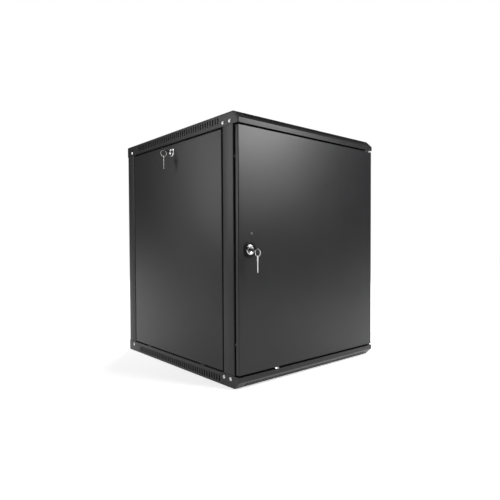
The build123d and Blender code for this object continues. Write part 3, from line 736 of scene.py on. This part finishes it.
def key(name, node, place, tip, mat):
    """A flat key with its eye, and a groove and a sunk panel on each side."""
    flat = place @ frame_at((0, KEY_THICK / 2, 0), (1, 0, 0), (0, 0, 1))
    bm = bmesh.new()
    prism(bm, key_outline(tip), KEY_THICK, flat)
    piece = new_piece(name, bm, node, mat, 30)
    bm = bmesh.new()
    through = place @ frame_at((0, CUT, 0), (1, 0, 0), (0, 0, 1))
    prism(bm, circle(EYE_R, 32, (0, EYE_OUT)), 2 * CUT, through)
    tool = 0.001
    left, right, start, end = -0.0018, -0.0008, tip - tool, 0.007
    for y in (KEY_THICK / 2 - GROOVE_DEPTH, -KEY_THICK / 2 - tool + GROOVE_DEPTH):
        groove = place @ frame_at((0, y + tool, 0), (1, 0, 0), (0, 0, 1))
        prism(bm, [(left, start), (right, start), (right, end), (left, end)], tool, groove)
    for y in (KEY_THICK / 2 - PANEL_DEPTH, -KEY_THICK / 2 - tool + PANEL_DEPTH):
        panel = place @ frame_at((0, y + tool, 0), (1, 0, 0), (0, 0, 1))
        prism(bm, rounded_rectangle(0.0095, 0.0052, 0.0018, (0, 0.0156), 4), tool, panel)
    cut(piece, new_piece("eye", bm), 30)
    soften(piece, 0.00018, 40, 2)
    return piece


def split_ring(name, node, place):
    """A split ring of two coils side by side, from a curve."""
    coil_r, wire_r, apart = 0.0100, 0.00040, 0.00041
    curve = bpy.data.curves.new(name, "CURVE")
    curve.dimensions = "3D"
    curve.bevel_depth = wire_r
    curve.bevel_resolution = 5
    curve.use_fill_caps = True
    spline = curve.splines.new("POLY")
    count = 110
    spline.points.add(count - 1)
    for i, point in enumerate(spline.points):
        turns = 0.03 + 1.92 * i / (count - 1)
        side = max(-1.0, min(1.0, (turns - 1.0) / 0.09))
        a = 2 * math.pi * turns + 2.2
        p = place @ Vector((coil_r * math.cos(a), coil_r * math.sin(a), side * apart))
        point.co = (*p, 1.0)
    holder = bpy.data.objects.new(name + "_curve", curve)
    bpy.context.collection.objects.link(holder)
    graph = bpy.context.evaluated_depsgraph_get()
    mesh = bpy.data.meshes.new_from_object(holder.evaluated_get(graph), depsgraph=graph)
    bpy.data.objects.remove(holder)
    piece = bpy.data.objects.new(name, mesh)
    bpy.context.collection.objects.link(piece)
    mesh.materials.clear()
    mesh.materials.append(NICKEL)
    shade(piece, 60)
    stand_for(piece, node)


def lock_place(prefix):
    """The lock's frame and its barrel's depth behind the face."""
    housing = prefix + "_lock_housing"
    lo, hi, mid = low(housing), high(housing), middle(housing)
    face = 0.002
    if prefix == "left":
        return frame_at((lo.x + face, mid.y, mid.z), (0, 1, 0), (0, 0, -1)), hi.x - lo.x - face
    if prefix == "right":
        return frame_at((hi.x - face, mid.y, mid.z), (0, -1, 0), (0, 0, -1)), hi.x - lo.x - face
    return frame_at((mid.x, lo.y + face, mid.z), (-1, 0, 0), (0, 0, -1)), hi.y - lo.y - face


for prefix in ("door", "left", "right"):
    place, depth = lock_place(prefix)
    lock_face(prefix, place, depth)
    lock_plug(prefix, place, depth)

for prefix, turn, ring_x in (("left", 59, (1, 0, 0)), ("door", 40, (0, 1, 0))):
    place, depth = lock_place(prefix)
    # The key in the plug wears the near-black copy of the nickel: painted shade on its bow.
    key(prefix + "_key_blank", prefix + "_key", place, -0.009, KEY_IN_SHADE)
    hanging = middle(prefix + "_spare_key")
    hanging.z = high(prefix + "_spare_key").z - KEY_TOP
    hook = Matrix.Translation(hanging) @ Matrix.Rotation(math.radians(turn), 4, "Z")
    tip = low(prefix + "_spare_key").z - hanging.z
    key(prefix + "_spare_key_blank", prefix + "_spare_key", hook, tip, NICKEL)
    ring = frame_at(middle(prefix + "_key_ring"), ring_x, (0, 0, 1))
    split_ring(prefix + "_split_ring", prefix + "_key_ring", ring)

# Rosette behind the door lock's face
lo, hi, mid = low("door_lock_rosette"), high("door_lock_rosette"), middle("door_lock_rosette")
base = frame_at((mid.x, hi.y, mid.z), (-1, 0, 0), (0, 0, -1))
radius, height = (hi.x - lo.x) / 2, hi.y - lo.y
bm = bmesh.new()
ring_lathe(bm, [
    (BODY_R, 0), (BODY_R, height), (0.0146, height), (0.0152, height - 0.0004), (0.0158, height - 0.0001),
    (0.0190, height - 0.0002), (0.0210, height - 0.0009), (0.0221, height - 0.0019),
    (radius, 0.0006), (radius, 0),
], base)
new_piece("door_lock_escutcheon", bm, "door_lock_rosette", ROSETTE, 30)

# ---- small sheet pieces --------------------------------------------------
lo, hi = low("door_rest_clip"), high("door_rest_clip")
step_y = lo.y + 0.0014
outline = [
    (lo.y, lo.z), (hi.y, lo.z), (hi.y, hi.z), (step_y + 0.0012, hi.z), (step_y + 0.0004, hi.z - 0.0006),
    (step_y, lo.z + 0.0018), (lo.y + 0.0004, lo.z + 0.0010), (lo.y, lo.z + 0.0006),
]
bm = bmesh.new()
prism(bm, outline, hi.x - lo.x, frame_at((lo.x, 0, 0), (0, 1, 0), (0, 0, 1)))
clip = new_piece("door_rest_clip_strip", bm, "door_rest_clip", ZINC)
soften(clip, 0.0002, 30)

lo, hi, mid = low("door_mark"), high("door_mark"), middle("door_mark")
bm = bmesh.new()
prism(bm, circle((hi.x - lo.x) / 2, 48), hi.y - lo.y, frame_at((mid.x, hi.y, mid.z), (1, 0, 0), (0, 0, 1)))
mark = new_piece("door_mark_disc", bm, "door_mark", MARK)
soften(mark, 0.0002)

# ---- CAD nodes that keep their own shape ---------------------------------
KEPT = {
    "rail_bolts": ZINC, "rail_nuts": ZINC, "rear_panel_screws": ZINC, "cover_screws": ZINC,
    "roof_cable_cover": CABINET, "floor_cable_cover": CABINET,
    "left_panel_hooks": CABINET, "right_panel_hooks": CABINET,
    "hinge_bush": ZINC, "top_hinge_pin": ZINC, "hinge_spring": ZINC, "bottom_hinge_pin": ZINC,
    "hinge_washer": BLACK, "door_buffers": RUBBER,
}
for prefix in ("door", "left", "right"):
    for part in ("lock_nut", "lock_cam", "cam_screw"):
        KEPT[f"{prefix}_{part}"] = ZINC
for node, mat in KEPT.items():
    thing = frame["nodes"][node]
    for slot in thing.material_slots:
        slot.material = mat
    if not thing.material_slots:
        thing.data.materials.append(mat)

# ---- stage, light and camera ---------------------------------------------
# The floor glows a little, and more so with the distance from the camera.
VIEW_WAY = (0.65, 0.76, 0)
GLOW_NEAR, GLOW_FAR = (-0.4, 0.42), (1.2, 0.95)
floor_mat, tree, shader = material("pale_floor")
tone = noise(tree, 3.0)
shades = ((0.3, (0.90, 0.90, 0.90)), (0.7, (0.93, 0.93, 0.93)))
tree.links.new(ramp(tree, tone, shades), shader.inputs["Base Color"])
shader.inputs["Roughness"].default_value = 0.9
place = tree.nodes.new("ShaderNodeTexCoord")
along_view = tree.nodes.new("ShaderNodeVectorMath")
along_view.operation = "DOT_PRODUCT"
along_view.inputs[1].default_value = VIEW_WAY
tree.links.new(place.outputs["Object"], along_view.inputs[0])
fade = tree.nodes.new("ShaderNodeMapRange")
fade.interpolation_type = "SMOOTHSTEP"
fade.inputs["From Min"].default_value, fade.inputs["To Min"].default_value = GLOW_NEAR
fade.inputs["From Max"].default_value, fade.inputs["To Max"].default_value = GLOW_FAR
tree.links.new(along_view.outputs["Value"], fade.inputs["Value"])
shader.inputs["Emission Color"].default_value = (1, 1, 1, 1)
tree.links.new(fade.outputs["Result"], shader.inputs["Emission Strength"])
bm = bmesh.new()
prism(bm, rounded_rectangle(24, 24, 4), -0.02)
floor = new_piece("floor", bm, material=floor_mat)

bpy.context.scene.view_settings.view_transform = "Standard"
world = bpy.data.worlds.new("studio")
bpy.context.scene.world = world
world.use_nodes = True
nodes, links = world.node_tree.nodes, world.node_tree.links
nodes.clear()
seen = nodes.new("ShaderNodeBackground")
seen.inputs["Color"].default_value = (1, 1, 1, 1)
seen.inputs["Strength"].default_value = 1.0
lit = nodes.new("ShaderNodeBackground")
lit.inputs["Color"].default_value = (1, 1, 1, 1)
lit.inputs["Strength"].default_value = 0.05
path = nodes.new("ShaderNodeLightPath")
mix = nodes.new("ShaderNodeMixShader")
output = nodes.new("ShaderNodeOutputWorld")
links.new(path.outputs["Is Camera Ray"], mix.inputs["Fac"])
links.new(lit.outputs["Background"], mix.inputs[1])
links.new(seen.outputs["Background"], mix.inputs[2])
links.new(mix.outputs["Shader"], output.inputs["Surface"])


def softbox(name, place, target, width, height, power):
    """A rectangular area light aimed at a point."""
    data = bpy.data.lights.new(name, "AREA")
    data.shape = "RECTANGLE"
    data.size, data.size_y, data.energy = width, height, power
    lamp = bpy.data.objects.new(name, data)
    bpy.context.collection.objects.link(lamp)
    lamp.location = place
    lamp.rotation_euler = (Vector(target) - Vector(place)).to_track_quat("-Z", "Y").to_euler()


softbox("key_low", (0.75, -1.45, 1.0), (-0.2, -0.32, 0.6), 0.7, 0.7, 8)
softbox("key_high", (0.45, -1.35, 1.4), (-0.2, -0.32, 0.6), 0.7, 0.7, 26)
softbox("side", (-1.6, 0.9, 0.95), (-0.3, -0.2, 0.5), 0.7, 1.0, 12)
softbox("overhead", (-1.0, -0.45, 2.1), (-0.3, -0.1, 0.5), 0.9, 0.9, 16)
softbox("back", (1.9, 2.0, 1.7), (0.1, 0.3, 0.3), 1.4, 1.4, 50)

CAMERA_PLACE = (-1.0518, -1.2416, 0.3934)
YAW, PITCH, ROLL = math.radians(40.61), math.radians(1.486), math.radians(-0.26)
LENS, SHIFT_X, SHIFT_Y = 32.51, 0.0015, 0.0093
camera = bpy.data.objects.new("camera", bpy.data.cameras.new("camera"))
bpy.context.collection.objects.link(camera)
camera.location = CAMERA_PLACE
camera.data.sensor_width = 36.0
camera.data.lens = LENS
camera.data.shift_x = SHIFT_X
camera.data.shift_y = SHIFT_Y
turned = Matrix.Rotation(-YAW, 3, "Z")
tipped = Matrix.Rotation(math.pi / 2 - PITCH, 3, "X")
camera.rotation_euler = (turned @ tipped @ Matrix.Rotation(ROLL, 3, "Z")).to_euler()
bpy.context.scene.camera = camera
